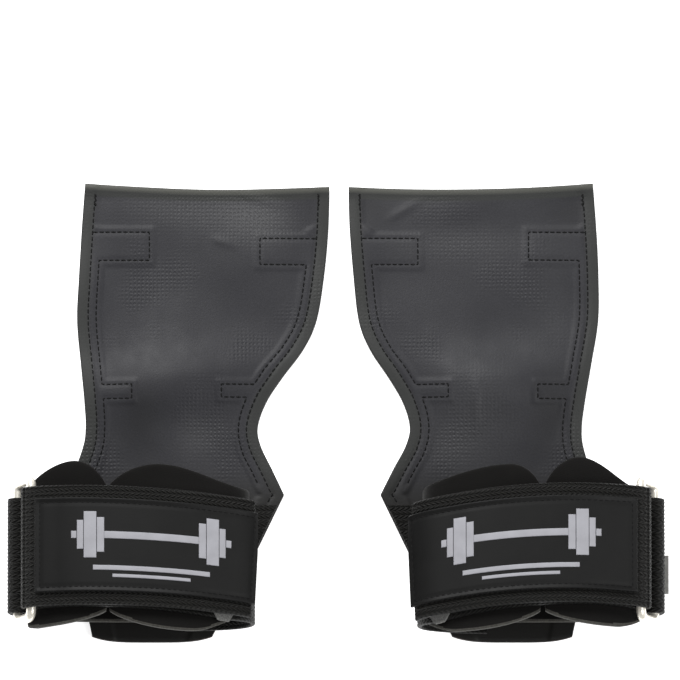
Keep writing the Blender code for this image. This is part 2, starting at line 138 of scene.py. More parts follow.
# In millimetres: creases as (x, y) ends and height; patches as (x, y), reach along x and y, and strength,
# above 0 where the weave shows as dimples and the rubber is painted lighter, a painted highlight, and below
# 0 where it is painted darker: painted shade on the neck's outer half, and darker top corners
CREASES = {
    "left": ((43, 69, 52, 72, 0.35), (24, 86, 40, 90, 0.3)),
    "right": ((57, 12, 56, -9, 0.55), (20, 80, 34, 88, 0.3)),
}
CREASE_WIDTH = 1.8 * MM
PATCHES = {
    "left": ((34, 80, 14, 9, 1.0), (62, 84, 22, 8, 0.5), (58, -12, 10, 9, 0.35), (82, -2, 9, 15, -0.45)),
    "right": (
        (50, 70, 22, 7, 0.5), (40, 88, 14, 5, 0.25), (46, -16, 10, 9, 0.35), (56, 0, 16, 16, 0.4),
        (88, 0, 9, 18, -0.5), (14, 84, 10, 9, -0.3), (98, 84, 12, 9, -0.4), (88, 42, 9, 26, 0.15),
    ),
}

# Where the border and the painted highlight along the lip end, the painted shade of the root begins (y), and
# over how far each eases into the rest
BORDER_SHADE = (4.2 * MM, 1.2 * MM)
LIP_HIGHLIGHT = (1.2 * MM, 1.4 * MM)
ROOT_SHADE = (-20 * MM, 22 * MM)
DIMPLE = 1.65 * MM

# Reinforcement strips: each tab is (low y, high y, x of the seam at its end) in millimetres
STRIP_TOP_Y = 75.3 * MM
STRIP_END_Y = -33 * MM
STRIP_REACH = 8.6 * MM
STRIP_SIDE_GAP = 0.8 * MM
STRIP_CELL = 1.5 * MM
STRIP_EASE = 3 * MM
STRIP_SLOPE = 2 * MM
TAB_MARGIN = 1.0 * MM
INNER_TABS = ((61.2, 72.1, 32.6), (5.8, 11.1, 46.8))
OUTER_TABS = ((63.0, 74.7, 78.3), (5.2, 11.1, 83.8))

# Stitching: a stitch's shape is its width and lift, as shares of the thread's radius, at places along it
BORDER_INSET = 4.6 * MM
STRIP_INSET = 7.9 * MM
BORDER_TOP_GAP = 5 * MM
BORDER_END_Y = -60 * MM
SEAM_END_Y = -38 * MM
STITCH = 2.5 * MM
STITCH_HALF = 0.41
STITCH_PLACES = np.array([-1.0, -0.75, -0.3, 0.3, 0.75, 1.0])
STITCH_WIDTHS = np.array([0.35, 0.85, 1.0, 1.0, 0.85, 0.35])
STITCH_LIFTS = np.array([-1.0, 0.1, 0.55, 0.55, 0.1, -1.0])
THREAD = 0.25 * MM
THREAD_DEPTH = 0.1 * MM
UNDER_THREAD_DEPTH = 0.3 * MM
TACK = (0.5 * MM, 0.9 * MM, 7)
GROOVE_REACH = 0.9 * MM
FACE_GROOVE = 0.22 * MM
BACKING_GROOVE = 0.2 * MM

# Cuff: a superellipse ring, its layers measured outwards from the pad's inner face
CUFF_Y = JOINTS["right_ring_swing"]["pos_m"][1]
HALF_WIDTH = 41.5 * MM
HALF_HEIGHT = 16 * MM
ROUNDNESS = 2.5
PAD = (0.0, 4.0 * MM)
STRAP = (4.3 * MM, 6.1 * MM)
REAR = (6.4 * MM, 8.2 * MM)
LOOP_TAPE = (6.3 * MM, 7.2 * MM)
HOOK_TAPE = (7.4 * MM, 8.3 * MM)
TAIL = (8.6 * MM, 10.4 * MM)
LABEL = (10.6 * MM, 12.0 * MM)
LAYER_GAP = 0.3 * MM
CUFF_Z = FACE_Z[1] + LAYER_GAP + REAR[1] + HALF_HEIGHT

# Webbing, and its herringbone: rows across the strap, bars along each row
WEBBING = 1.8 * MM
WEBBING_WIDTH = 50 * MM
WEAVE_PITCH = 2.1 * MM
WEAVE_ROW = 1.62 * MM
CORD_HEIGHT = 0.24 * MM
CORD_EASE = 0.5 * MM
REAR_EDGES = (-25 * MM, 22.8 * MM)
REAR_INSET = 0.4 * MM
REAR_CURVE = (4.76, 5.14)
REAR_FLAT_END = CUFF_X + 2 * MM
LOOP_EDGES = (-25.2 * MM, 22.5 * MM)
LOOP_END_ANGLE = -1.05
LOOP_SETTLE = 0.8

# Ring: a rectangle of round wire
WIRE = 2 * MM
RING_LENGTH = 57 * MM
RING_CORNER = 3.2 * MM
CORNER_STEPS = 13
WIRE_STEPS = 28
WRAP_RADIUS = WIRE + LAYER_GAP + WEBBING / 2
BAR_OFFSET = middle(STRAP) + WRAP_RADIUS
RING_ANGLE = 0.434

# Strap and tail: they lie askew, bowing a little on top and dropping towards the tail's free end
STRAP_START = 4.35
STRAP_BEND = (24 * MM, 2 * MM)
TAIL_END = {"left": 2.72, "right": 2.80}
TAIL_SETTLE_ANGLE = 0.44
TAIL_LIFT = 2.5 * MM
TAIL_LIFT_ANGLES = (2.2, 2.8)
TAIL_TAPER = 1.4 * MM
TAIL_SKEW = 0.064
BOW = {"left": 0.9 * MM, "right": 2.4 * MM}
DROP = {"left": 5 * MM, "right": 6 * MM}
DROP_POWER = 1.6
TAPE_START = 0.95
TAPE_WIDTH = 45 * MM
TAPE_EDGE = 0.3 * MM
LOOP_TAPE_GAP = 0.05
HOOK_TAPE_GAP = 0.04
TAPE_CORNER_X = {"left": 47.5 * MM, "right": 43.9 * MM}
TAPE_CORNER_DROP = 4.2 * MM
TAPE_CORNER_REACH = 5 * MM

# Label: its raised rim and seam; the mark's blocks are (x, y, length, width) in millimetres
LABEL_START = RING_ANGLE + 0.16
LABEL_WIDTH = 39.2 * MM
LABEL_CELL = 0.9 * MM
LABEL_RIM = (0.45 * MM, 1.2 * MM)
LABEL_SEAM = 2 * MM
LABEL_SEAM_DEPTH = 0.25 * MM
LABEL_SOFTNESS = 0.5 * MM
LABEL_STITCH = 2.4 * MM
LABEL_THREAD = 0.22 * MM
LABEL_THREAD_DEPTH = 0.2 * MM
MARK_PLACE = {"left": 0.52, "right": 0.50}
MARK_BAR = ((0, 4, 38.8, 3.0), (0, -9.6, 48, 2.0), (0, -12.8, 32, 1.4))
MARK_PLATES = ((20.9, 4, 3.0, 14.4), (25.2, 4, 5.2, 19.2), (29.3, 4, 2.6, 12), (31.9, 4, 2.2, 3))
MARK_CELL = 1.2 * MM
MARK_ROUNDING = 0.3 * MM
MARK_HEIGHT = 0.35 * MM
MARK_DEPTH = 0.15 * MM

# Pad: its edges, and its two wings at each edge as crest and end, measured from the notch, and height
NOTCH = {"left": 1.345, "right": 1.52}
NOTCH_HALF = 0.016
PAD_Y = (-88.5 * MM, -36.5 * MM)
HIGH_WINGS = {
    "left": ((20 * MM, 58 * MM, 8.6 * MM), (13 * MM, 42 * MM, 10.2 * MM)),
    "right": ((12 * MM, 60 * MM, 8.6 * MM), (14 * MM, 40 * MM, 11.6 * MM)),
}
LOW_WINGS = ((34 * MM, 62 * MM, -8.2 * MM), (30 * MM, 52 * MM, -6.0 * MM))
PAD_FLARE = 1.6 * MM
PAD_FLARE_REACH = 9 * MM
PAD_FLARE_LENGTH = 70 * MM
PAD_EDGE = {"edge": 1.4 * MM, "rim": 0.6, "cut": 0.8 * MM}

TAG_SIZE = (16 * MM, 16 * MM)
TAG_THICKNESS = 0.6 * MM
TAG_BOW = 0.6 * MM
TAG_Y = -15 * MM
TAG_ANGLE = -0.62
TAG_LIFT = 1.7 * MM
TAG_LEAN = 0.36


# -------- meshes


def unit(vectors):
    return vectors / np.linalg.norm(vectors, axis=-1, keepdims=True)


def distances(line):
    """How far along a line each of its points is."""
    return np.concatenate([[0], np.cumsum(np.linalg.norm(np.diff(line, axis=0), axis=1))])


def sample(line, steps, places):
    """The points of a line, or what else is given at its steps, at these places along it."""
    return np.stack([np.interp(places, steps, column) for column in line.T], -1)


def dense(line, step=0.4 * MM):
    """The same line with points about a step apart."""
    steps = distances(line)
    return sample(line, steps, np.linspace(0, steps[-1], max(2, round(steps[-1] / step))))


def quads(index):
    """The faces between neighbouring rows and columns of a grid of vertex numbers."""
    corners = index[..., :-1, :-1], index[..., 1:, :-1], index[..., 1:, 1:], index[..., :-1, 1:]
    return np.stack(corners, -1).reshape(-1, 4)


def shell(outer, inner):
    """Points and faces of the closed solid between two grids, and which of the faces are its rim."""
    index = np.arange(outer[..., 0].size).reshape(outer.shape[:2])
    top = quads(index)
    border = np.concatenate([index[0, :-1], index[:-1, -1], index[-1, :0:-1], index[:0:-1, 0]])
    ahead = np.roll(border, -1)
    rim = np.stack([border, ahead, ahead + index.size, border + index.size], -1)
    faces = np.concatenate([top, top[:, ::-1] + index.size, rim])
    points = np.concatenate([outer.reshape(-1, 3), inner.reshape(-1, 3)])
    return points, faces, np.arange(len(faces)) >= 2 * len(top)


def rounding(away, radius, floor=0.2):
    """Share of the full thickness at this distance from a rounded edge."""
    t = np.clip(away / radius, 0.0, 1.0)
    return floor + (1 - floor) * np.sqrt(1 - (1 - t) ** 2)


def even_steps(length, cell, margin):
    """Places from 0 to length about a cell apart, and closer at both ends, where an edge is rounded."""
    near = margin * (1 - np.cos(np.linspace(0, math.pi / 2, 5)))
    count = max(2, round((length - 2 * margin) / cell))
    inside = np.linspace(margin, length - margin, count + 1)[1:-1]
    return np.concatenate([near, inside, length - near[::-1]])


def signed_volume(points, faces):
    a, b, c, d = (points[faces[:, k]] for k in range(4))
    return np.einsum("ij,ij->", a, np.cross(b, c)) + np.einsum("ij,ij->", a, np.cross(c, d))


def add_object(name, data):
    made = bpy.data.objects.new(name, data)
    bpy.context.scene.collection.objects.link(made)
    return made


def make_piece(name, points, faces, looks, uv, slots, values):
    """A closed quad mesh with a UV map in metres, a material slot per face and named values per vertex."""
    if signed_volume(points, faces) < 0:
        faces = faces[:, ::-1]
    mesh = bpy.data.meshes.new(name)
    mesh.vertices.add(len(points))
    mesh.vertices.foreach_set("co", points.astype(np.float32).ravel())
    mesh.loops.add(faces.size)
    mesh.loops.foreach_set("vertex_index", faces.astype(np.int32).ravel())
    mesh.polygons.add(len(faces))
    mesh.polygons.foreach_set("loop_start", np.arange(0, faces.size, 4, dtype=np.int32))
    if slots is not None:
        mesh.polygons.foreach_set("material_index", slots.astype(np.int32))
    mesh.update(calc_edges=True)
    mesh.validate()
    layer = mesh.uv_layers.new(name="cloth")
    layer.data.foreach_set("uv", uv[faces.ravel()].astype(np.float32).ravel())
    for key, value in (values or {}).items():
        attribute = mesh.attributes.new(key, "FLOAT", "POINT")
        attribute.data.foreach_set("value", value.astype(np.float32))
    mesh.shade_smooth()
    mesh.set_sharp_from_angle(angle=math.radians(55))
    for look in looks:
        mesh.materials.append(LOOKS[look])
    return add_object(name, mesh)


class Grip:
    """One grip of the pair: it places and names what belongs to its side."""

    def __init__(self, side):
        self.side = side
        self.sign = SIDES[side]
        self.shift = CUFF_SHIFT[side]
        self.origin = PAIR_X - self.sign * self.shift

    def world(self, points):
        placed = np.array(points, float)
        placed[..., 0] = self.origin + self.sign * placed[..., 0]
        return placed

    def on_cuff(self, point):
        """The world place of an (x, z) point halfway along the cuff."""
        return tuple(float(v) for v in self.world((point[0], CUFF_Y, point[1])))

    def name(self, piece):
        return f"{self.side}_{piece}"

    def add(self, name, points, faces, looks, uv=None, slots=None, values=None):
        """A piece of this grip. Its UV map is its x and y unless another is given."""
        uv = points[:, :2] if uv is None else uv
        return make_piece(self.name(name), self.world(points), faces, looks, uv, slots, values)

    def stand_for(self, piece, nodes, slot, body=None):
        """The piece takes the CAD nodes' place, which are hidden, and rides its body if one is given."""
        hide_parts(*(self.name(node) for node in nodes))
        if body:
            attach(piece, self.name(body))


def thread_piece(grip, name, lines, pitch=STITCH, radius=THREAD):
    """Stitches along lines of (points, normals): short rounded lengths of thread that dip into the cloth."""
    turns = np.linspace(0, math.tau, 6, endpoint=False)
    points, faces, base = [], [], 0
    for line, normals in lines:
        steps = distances(line)
        count = max(1, round(steps[-1] / pitch))
        places = (np.arange(count)[:, None] + 0.5 + STITCH_HALF * STITCH_PLACES) * steps[-1] / count
        centre = sample(line, steps, places)
        tangent = unit(np.gradient(centre, axis=1))
        across = unit(np.cross(tangent, sample(normals, steps, places)))
        up = np.cross(across, tangent)
        centre = centre + up * (STITCH_LIFTS * radius)[:, None]
        turned = [np.einsum("ijk,t->ijtk", *pair) for pair in ((across, np.cos(turns)), (up, np.sin(turns)))]
        tube = centre[:, :, None] + sum(turned) * (STITCH_WIDTHS * radius)[:, None, None]
        index = base + np.arange(tube[..., 0].size).reshape(tube.shape[:3])
        base += index.size
        points.append(tube.reshape(-1, 3))
        faces.append(quads(np.concatenate([index, index[:, :, :1]], -1)))
        for quad in ([0, 1, 2, 3], [0, 3, 4, 5]):
            faces += [index[:, 0, quad], index[:, -1, quad[::-1]]]
    return grip.add(name, np.concatenate(points), np.concatenate(faces), ["thread"])


# -------- the flap


def smooth_curve(points, steps=12):
    """A Catmull-Rom curve through the points."""
    padded = np.array([points[0], *points, points[-1]], float)
    t = np.arange(steps)[:, None] / steps
    found = []
    for p, q, r, s in zip(padded, padded[1:], padded[2:], padded[3:]):
        bend = (2 * p - 5 * q + 4 * r - s) * t**2 + (3 * q - p - 3 * r + s) * t**3
        found.append(0.5 * (2 * q + (r - p) * t + bend))
    return np.concatenate([*found, padded[-1:]])


class Edge:
    """A side edge of the flap, with its strip's tabs. toward is 1 or -1, the way to the middle in x."""

    def __init__(self, points, root_end, tabs, toward, grip):
        curve = smooth_curve(points)[::-1] * MM
        self.y = np.concatenate([[ROOT_END_Y], curve[:, 1]])
        self.x = np.concatenate([[root_end * MM], curve[:, 0]])
        self.toward = toward
        self.grip = grip
        self.tabs = [(low * MM, high * MM, end * MM + float(self.skew(low * MM))) for low, high, end in tabs]

    def skew(self, y):
        """How far the edge is moved outwards at this height."""
        leaning = smoothstep((SHIFT_Y[0] - y) / (SHIFT_Y[0] - SHIFT_Y[1]))
        return self.grip.shift - self.grip.sign * SIDE_SHIFT * leaning

    def at(self, y):
        return np.interp(y, self.y, self.x) + self.skew(y)

    def square(self, y):
        """The share of a horizontal distance from the edge that is square to it."""
        slope = (self.at(y + 0.5 * MM) - self.at(y - 0.5 * MM)) / MM
        return 1 / np.sqrt(1 + slope**2)

    def inset(self, y, distance):
        return self.at(y) + self.toward * distance / self.square(y)

    def away(self, x, y):
        return np.abs(x - self.at(y)) * self.square(y)


def top_y(across):
    """The flap's top edge, from 0 at its inner side to 1 at its outer side."""
    dip = FLAP_TOP_DIP * np.sin(math.pi * across) + FLAP_TOP_SLOPE * (1 - across)
    return FLAP_TOP_Y - FLAP_TOP_TRIM - dip


def root_y(across):
    return ROOT_END_Y + ROOT_ROUNDING * np.abs(2 * across - 1) ** 4


class Flap:
    """The flap's outline, its gentle unevenness, the relief of its strips and its stitch lines."""

    def __init__(self, grip):
        self.grip = grip
        self.inner = Edge(INNER_EDGE, INNER_ROOT_END, INNER_TABS, 1, grip)
        self.outer = Edge(OUTER_EDGE, OUTER_ROOT_END, OUTER_TABS, -1, grip)
        self.edges = (self.inner, self.outer)
        self.lines = [dense(line) for line in self.stitch_lines()]

    def across(self, x, y):
        return np.clip((x - self.inner.at(y)) / (self.outer.at(y) - self.inner.at(y)), 0, 1)

    def unevenness(self, x, y):
        """How far the whole flap stands off the table: it is pressed flat under the cuff."""
        off_middle = 2 * self.across(x, y) - 1
        height = FLAP_GAP + CROWN * (1 - off_middle**2)
        height += HUMP * np.exp(-(((y - HUMP_Y) / HUMP_REACH) ** 2) - (off_middle / HUMP_SPREAD) ** 2)
        height += LIP * smoothstep((y - LIP_Y) / LIP_REACH) + self.creases(x, y)
        for rise, along, up, phase in RIPPLES:
            height += rise * np.sin(math.tau * (x / along + y / up) + phase * self.grip.sign)
        return height * smoothstep((y - PRESSED_Y) / FREE_REACH)

    def creases(self, x, y):
        """Soft ridges along short lines."""
        height = 0.0
        for x0, y0, x1, y1, rise in CREASES[self.grip.side]:
            along, up = x - x0 * MM - self.grip.shift, y - y0 * MM
            run = np.array([x1 - x0, y1 - y0]) * MM
            t = np.clip((along * run[0] + up * run[1]) / (run @ run), 0, 1)
            gap = np.hypot(along - t * run[0], up - t * run[1])
            fade = np.sin(math.pi * (0.1 + 0.8 * t))
            height = height + rise * MM * np.exp(-((gap / CREASE_WIDTH) ** 2)) * fade
        return height

    def pressed(self, x, y):
        """Above 0 where the weave shows as dimples under a painted highlight, below 0 where the rubber is
        painted darker, painted shade.
        """
        found = 0.0
        for px, py, long, wide, strength in PATCHES[self.grip.side]:
            along, up = x - self.grip.shift - px * MM, y - py * MM
            found = found + strength * np.exp(-((along / (long * MM)) ** 2) - (up / (wide * MM)) ** 2)
        return np.clip(found, -1, 1)

    def strip_distance(self, x, y):
        """Distance outside the reinforcement strips and their tabs, negative inside them."""
        found = []
        for edge in self.edges:
            reach = lerp(STRIP_REACH, BORDER_INSET, smoothstep((y - STRIP_TOP_Y) / STRIP_EASE))
            found.append(edge.away(x, y) - reach)
            for low, high, end in edge.tabs:
                past = edge.toward * (x - end) - TAB_MARGIN
                found.append(np.maximum(past, np.abs(y - (low + high) / 2) - (high - low) / 2 - TAB_MARGIN))
        return np.minimum.reduce(found)

    def stitch_lines(self):
        """The border line down each side, and inside it the line round each strip's tabs."""
        for edge in self.edges:
            border = np.linspace(FLAP_TOP_Y - BORDER_TOP_GAP, BORDER_END_Y, 90)
            yield np.stack([edge.inset(border, BORDER_INSET), border], -1)
            points, inset = [], BORDER_INSET
            for (low, high, end), stop in zip(edge.tabs, (edge.tabs[1][1], STRIP_END_Y + STRIP_EASE)):
                points += [(edge.inset(high, inset), high), (end, high), (end, low)]
                inset = STRIP_INSET
                points += [(edge.inset(y, inset), y) for y in np.linspace(low, stop, 40)]
            yield np.array(points, float)

    def groove(self, x, y):
        """1 on a stitch line, falling to 0 beside it. The lines are taken in parts, to save memory."""
        flat = np.stack([x.ravel(), y.ravel()], -1).astype(np.float32)
        nearest = np.full(len(flat), np.inf, np.float32)
        for part in np.array_split(np.concatenate(self.lines).astype(np.float32), 12):
            gap = (flat[:, :1] - part[:, 0]) ** 2 + (flat[:, 1:] - part[:, 1]) ** 2
            nearest = np.minimum(nearest, gap.min(1))
        return np.exp(-nearest / GROOVE_REACH**2).reshape(x.shape)

    def raised(self, x, y):
        """1 where a strip lifts the face, 0 beside it."""
        return 1 - smoothstep(self.strip_distance(x, y) / STRIP_SLOPE)

    def face_height(self, x, y):
        return self.unevenness(x, y) + FACE_Z[1] - SINK * (1 - self.raised(x, y))

    def grid(self, low, high):
        """x and y over the flap between two heights, following its top edge and its root's end."""
        rows = np.linspace(low, high, round((high - low) / FLAP_CELL) + 1)
        if low < FLARE_Y < high:
            rows[np.argmin(np.abs(rows - FLARE_Y))] = FLARE_Y
        width = float(self.outer.at(FINGER_CURL_Y) - self.inner.at(FINGER_CURL_Y))
        across = even_steps(width, FLAP_CELL, FLAP_MARGIN) / width
        x = lerp(self.inner.at(rows)[:, None], self.outer.at(rows)[:, None], across)
        y = rows[:, None]
        near_top = smoothstep((y - TOP_EASE_Y) / (FLAP_TOP_Y - TOP_EASE_Y))
        near_root = smoothstep((ROOT_EASE_Y - y) / (ROOT_EASE_Y - ROOT_END_Y))
        y = y + near_top * (top_y(across) - FLAP_TOP_Y) + near_root * (root_y(across) - ROOT_END_Y)
        return x, y

    def seam_line(self, line, high, low, underneath=False):
        """The part of a stitch line between two heights, on the face or the backing, with its normals."""
        x, y = line[(line[:, 1] <= high) & (line[:, 1] >= low)].T
        if underneath:
            z = self.unevenness(x, y) + UNDER_THREAD_DEPTH
        else:
            z = self.face_height(x, y) - THREAD_DEPTH
        return np.stack([x, y, z], -1), np.tile([0.0, 0.0, -1.0 if underneath else 1.0], (len(x), 1))


def blend_flap(grip, piece, stretch):
    """Bakes the piece's placement into its mesh. Its fold, the finger curl for the upper pieces and the
    wrist fold for the lower ones, is worked out but not used.
    """
    folds = {"upper": ("palm", "finger", FINGER_CURL_Y), "lower": ("cuff", "palm", WRIST_FOLD_Y)}
    low, high, y = folds[stretch]
    start, end = ((0, y + reach, 0) for reach in (-FOLD_REACH, FOLD_REACH))
    grip.name(low)
    grip.name(high)
    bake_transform(piece)
    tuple(start)
    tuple(end)


def flap_sheet(flap, kind, stretch, grid, groove):
    """The face or the backing, as a thin sheet with a rounded cut edge."""
    x, y = grid
    base = flap.unevenness(x, y)
    if kind == "face":
        base = base - SINK * (1 - flap.raised(x, y))
        top, bottom = base + FACE_Z[1] - FACE_GROOVE * groove, base + FACE_Z[0]
    else:
        top, bottom = base + BACKING_TOP, base + BACKING_GROOVE * groove
    across = flap.across(x, y)
    from_top, from_root = top_y(across) - y, y - root_y(across)
    sides = (edge.away(x, y) for edge in flap.edges)
    edge = np.maximum(np.minimum.reduce([*sides, from_top, from_root]), 0)
    half = (top - bottom) / 2 * rounding(edge, CUT_ROUNDING, CUT_THICKNESS)
    outer, inner = (np.stack([x, y, (top + bottom) / 2 + part], -1) for part in (half, -half))
    points, faces, rim = shell(outer, inner)
    shares = {
        "border": 1 - smoothstep((edge - BORDER_SHADE[0]) / BORDER_SHADE[1]),
        # a painted highlight along the top edge
        "lip": 1 - smoothstep((from_top - LIP_HIGHLIGHT[0]) / LIP_HIGHLIGHT[1]),
        # painted shade towards the root, where the flap runs in under the cuff
        "root": smoothstep((ROOT_SHADE[0] - y) / ROOT_SHADE[1]),
        "pressed": flap.pressed(x, y),
    }
    values = {key: np.tile(share.ravel(), 2) for key, share in shares.items()}
    piece = flap.grip.add(f"flap_{kind}_{stretch}", points, faces, [kind, "cut"], slots=rim, values=values)
    rows = y[:, 0]
    left, right = flap.inner.at(rows), flap.outer.at(rows)
    size = (float(right.max() - left.min()), float(np.ptp(rows)))
    float(np.trapz(right - left, rows))
    return piece


def strip_piece(flap, name, edge, low, high):
    """A reinforcement strip between face and backing, with the tabs that reach in from it."""
    tabs = [(tab[0] - TAB_MARGIN, tab[1] + TAB_MARGIN, tab[2]) for tab in edge.tabs if low < tab[0] < high]
    steps = [y + step for tab in tabs for y in tab[:2] for step in (-CLEARANCE, CLEARANCE)]
    rows = np.array(sorted({*np.arange(low, high, STRIP_CELL), high, *steps}))
    end = edge.inset(rows, STRIP_REACH)
    for tab_low, tab_high, tab_end in tabs:
        end = np.where((rows > tab_low) & (rows < tab_high), tab_end + edge.toward * TAB_MARGIN, end)
    start = edge.at(rows) + edge.toward * STRIP_SIDE_GAP
    x = lerp(start[:, None], end[:, None], np.linspace(0, 1, 9))
    y = np.broadcast_to(rows[:, None], x.shape)
    base = flap.unevenness(x, y)
    top = base + STRIP_Z[1] - (SINK - CLEARANCE) * (1 - flap.raised(x, y))
    points, faces, _ = shell(np.stack([x, y, top], -1), np.stack([x, y, base + STRIP_Z[0] - CLEARANCE], -1))
    return flap.grip.add(name, points, faces, ["strip"])


def bar_tack(flap, line):
    """A short dense row beside the start of a border line, where it is sewn back and forth."""
    x, y = line[0]
    width, step, count = TACK
    points = np.array([(x + width * (-1) ** k, y - step * k) for k in range(count)])
    return np.column_stack([points, flap.face_height(*points.T)]), np.tile([0.0, 0.0, 1.0], (count, 1))


def build_flap(grip):
    """Both sheets, the two strips between them and the thread, in a lower and an upper stretch."""
    flap = Flap(grip)
    stretches = {
        "lower": (ROOT_END_Y, SPLIT_Y, ("root", "palm")),
        "upper": (SPLIT_Y, FLAP_TOP_Y, ("finger",)),
    }
    for stretch, (low, high, panels) in stretches.items():
        grid = flap.grid(low, high)
        groove = flap.groove(*grid)
        made = []
        for kind, slot in (("face", "flap_rubber"), ("backing", "backing_rubber")):
            sheet = flap_sheet(flap, kind, stretch, grid, groove)
            made.append((sheet, f"flap_{kind}", slot))
        for where, edge in zip(("inner", "outer"), flap.edges):
            span = max(low, STRIP_END_Y), min(high, STRIP_TOP_Y)
            strip = strip_piece(flap, f"{where}_strip_{stretch}", edge, *span)
            made.append((strip, f"{where}_strip", "reinforcement"))
        for piece, kind, slot in made:
            blend_flap(grip, piece, stretch)
            grip.stand_for(piece, [f"{kind}_{panel}" for panel in panels], slot)
        lines = [flap.seam_line(line, high, max(low, SEAM_END_Y)) for line in flap.lines]
        lines += [flap.seam_line(line, high, low, underneath=True) for line in flap.lines]
        if stretch == "upper":
            lines += [bar_tack(flap, line) for line in flap.lines[::2]]
        thread = thread_piece(grip, f"flap_thread_{stretch}", lines)
        blend_flap(grip, thread, stretch)
    return flap


# -------- round the cuff


def cuff_point(angle, offset):
    """The (x, z) point at this offset outside the pad's inner face, and the outward normal there."""
    x, z = (np.sign(v) * np.abs(v) ** (2 / ROUNDNESS) for v in (np.cos(angle), np.sin(angle)))
    nx = np.sign(x) * np.abs(x) ** (ROUNDNESS - 1) / HALF_WIDTH
    nz = np.sign(z) * np.abs(z) ** (ROUNDNESS - 1) / HALF_HEIGHT
    normal = unit(np.stack([nx, nz], -1))
    base = np.stack([CUFF_X + HALF_WIDTH * x, CUFF_Z + HALF_HEIGHT * z], -1)
    return base + normal * np.asarray(offset)[..., None], normal


def cuff_path(start, end, offset, samples=600):
    """A line round the cuff between two angles; offset is a number or a function of the angle."""
    angle = np.linspace(start, end, samples)
    return cuff_point(angle, offset(angle) if callable(offset) else np.full(samples, offset))[0]


class Ribbon:
    """A line of (x, z) points that cloth follows: s runs along it, y across, and height off it outwards."""

    def __init__(self, line, centre=(CUFF_X, CUFF_Z)):
        self.line = line
        self.steps = distances(line)
        self.length = self.steps[-1]
        self.tangent = unit(np.gradient(line, self.steps, axis=0))
        half = len(line) // 2
        (tx, tz), (x, z) = self.tangent[half], line[half] - np.array(centre)
        self.outward = 1.0 if x * tz > z * tx else -1.0

    def place(self, s, y, height=0.0):
        x, z = np.moveaxis(sample(self.line, self.steps, s), -1, 0)
        tx, tz = np.moveaxis(unit(sample(self.tangent, self.steps, s)), -1, 0) * self.outward
        return np.stack(np.broadcast_arrays(x + tz * height, y, z - tx * height), -1)

    def seam(self, places, height):
        """A stitch line through (s, y) places, with its normals."""
        s, y = dense(np.array(places), 0.8 * MM).T
        return self.place(s, y, height), self.place(s, 0.0, 1.0) - self.place(s, 0.0)


def band(
    grip, name, ribbon, layer, edges, looks,
    cells=(MM, MM), edge=0.6 * MM, rim=0.35, relief=None, lift=None, skew=0.0, trim=None, cut=0.0,
):
    """A strip of cloth on a ribbon, as thick as its layer, with edges that give y at a place s.

    Its edge is rounded this far in, down to the share rim of its thickness. relief(across, away) raises its
    outside, lift(s, y) the whole of it, skew slants its end and trim(y) its start. A second look is for its
    cut edge, which shows on its outside as far in from its low edge as cut says.
    """
    low, high = edges
    s = even_steps(ribbon.length, cells[0], min(edge, ribbon.length / 4))
    width = float(np.max(high(s) - low(s)))
    across = even_steps(width, cells[1], edge) / width
    bottom, top = low(s)[:, None], high(s)[:, None]
    beyond = (top - bottom) * across
    yy = bottom + beyond
    ss = s[:, None] * (1 + skew * (across - 0.5) * (top - bottom) / ribbon.length)
    if trim:
        ss = trim(yy) + ss * (1 - trim(yy) / ribbon.length)
    ends = np.minimum(s, ribbon.length - s)[:, None]
    away = np.minimum(np.minimum(across, 1 - across) * (top - bottom), ends)
    half = (layer[1] - layer[0]) / 2 * rounding(away, edge, rim)
    rise = lift(ss, yy) if lift else 0.0
    outside = relief(beyond, away) if relief else 0.0
    outer, inner = ribbon.place(ss, yy, rise + half + outside), ribbon.place(ss, yy, rise - half)
    points, faces, is_cut = shell(outer, inner)
    near = (beyond[:-1, :-1] < cut).ravel()
    is_cut[: 2 * near.size] = np.tile(near, 2)
    uv = np.tile(np.stack([ss, beyond], -1).reshape(-1, 2), (2, 1))
    return grip.add(name, points, faces, looks, uv, is_cut if len(looks) > 1 else None)


def straight_edges(low, high):
    """The edges of a band that runs square round the cuff, measured from the cuff's middle."""
    return tuple(lambda s, y=y: np.full(np.shape(s), CUFF_Y + y) for y in (low, high))


def askew_edges(grip, width, start, end, length, taper=0.0):
    """The edges of a band that lies askew between two cuff angles and narrows by its taper."""

    def edge(s, side):
        t = np.clip((lerp(start, end, s / length) - RING_ANGLE) / (TAIL_END[grip.side] - RING_ANGLE), 0, 1)
        shift = BOW[grip.side] * np.sin(math.pi * t) - DROP[grip.side] * t**DROP_POWER
        return CUFF_Y + shift + side * (width - taper * s / length) / 2

    return (lambda s: edge(s, -1)), (lambda s: edge(s, 1))


def lobe(away, crest, end):
    """A wing's rounded end: 0 at the notch, 1 at its crest and easing back to 0."""
    rising = np.clip(1 - ((crest - np.minimum(away, crest)) / crest) ** 2, 0, 1) ** 0.8
    return np.where(away < crest, rising, 1 - smoothstep((away - crest) / (end - crest)))


def build_pad(grip):
    """The neoprene pad: its wings curl out a little where they stand clear of the strap."""
    start = NOTCH[grip.side] + NOTCH_HALF
    stop = NOTCH[grip.side] + math.tau - NOTCH_HALF
    ribbon = Ribbon(cuff_path(start, stop, middle(PAD), samples=1500))

    def edge(base, near, far):
        def at(s):
            return base + near[2] * lobe(s, *near[:2]) + far[2] * lobe(ribbon.length - s, *far[:2])

        return at

    def flare(s, y):
        beyond = np.maximum(np.abs(y - CUFF_Y) - WEBBING_WIDTH / 2, 0)
        on_top = smoothstep(1 - np.minimum(s, ribbon.length - s) / PAD_FLARE_LENGTH)
        return PAD_FLARE * on_top * smoothstep(beyond / PAD_FLARE_REACH)

    edges = edge(PAD_Y[0], *LOW_WINGS), edge(PAD_Y[1], *HIGH_WINGS[grip.side])
    piece = band(grip, "wrist_pad_foam", ribbon, PAD, edges, ["jersey", "foam"], lift=flare, **PAD_EDGE)
    grip.stand_for(piece, ["wrist_pad"], "neoprene", "cuff")


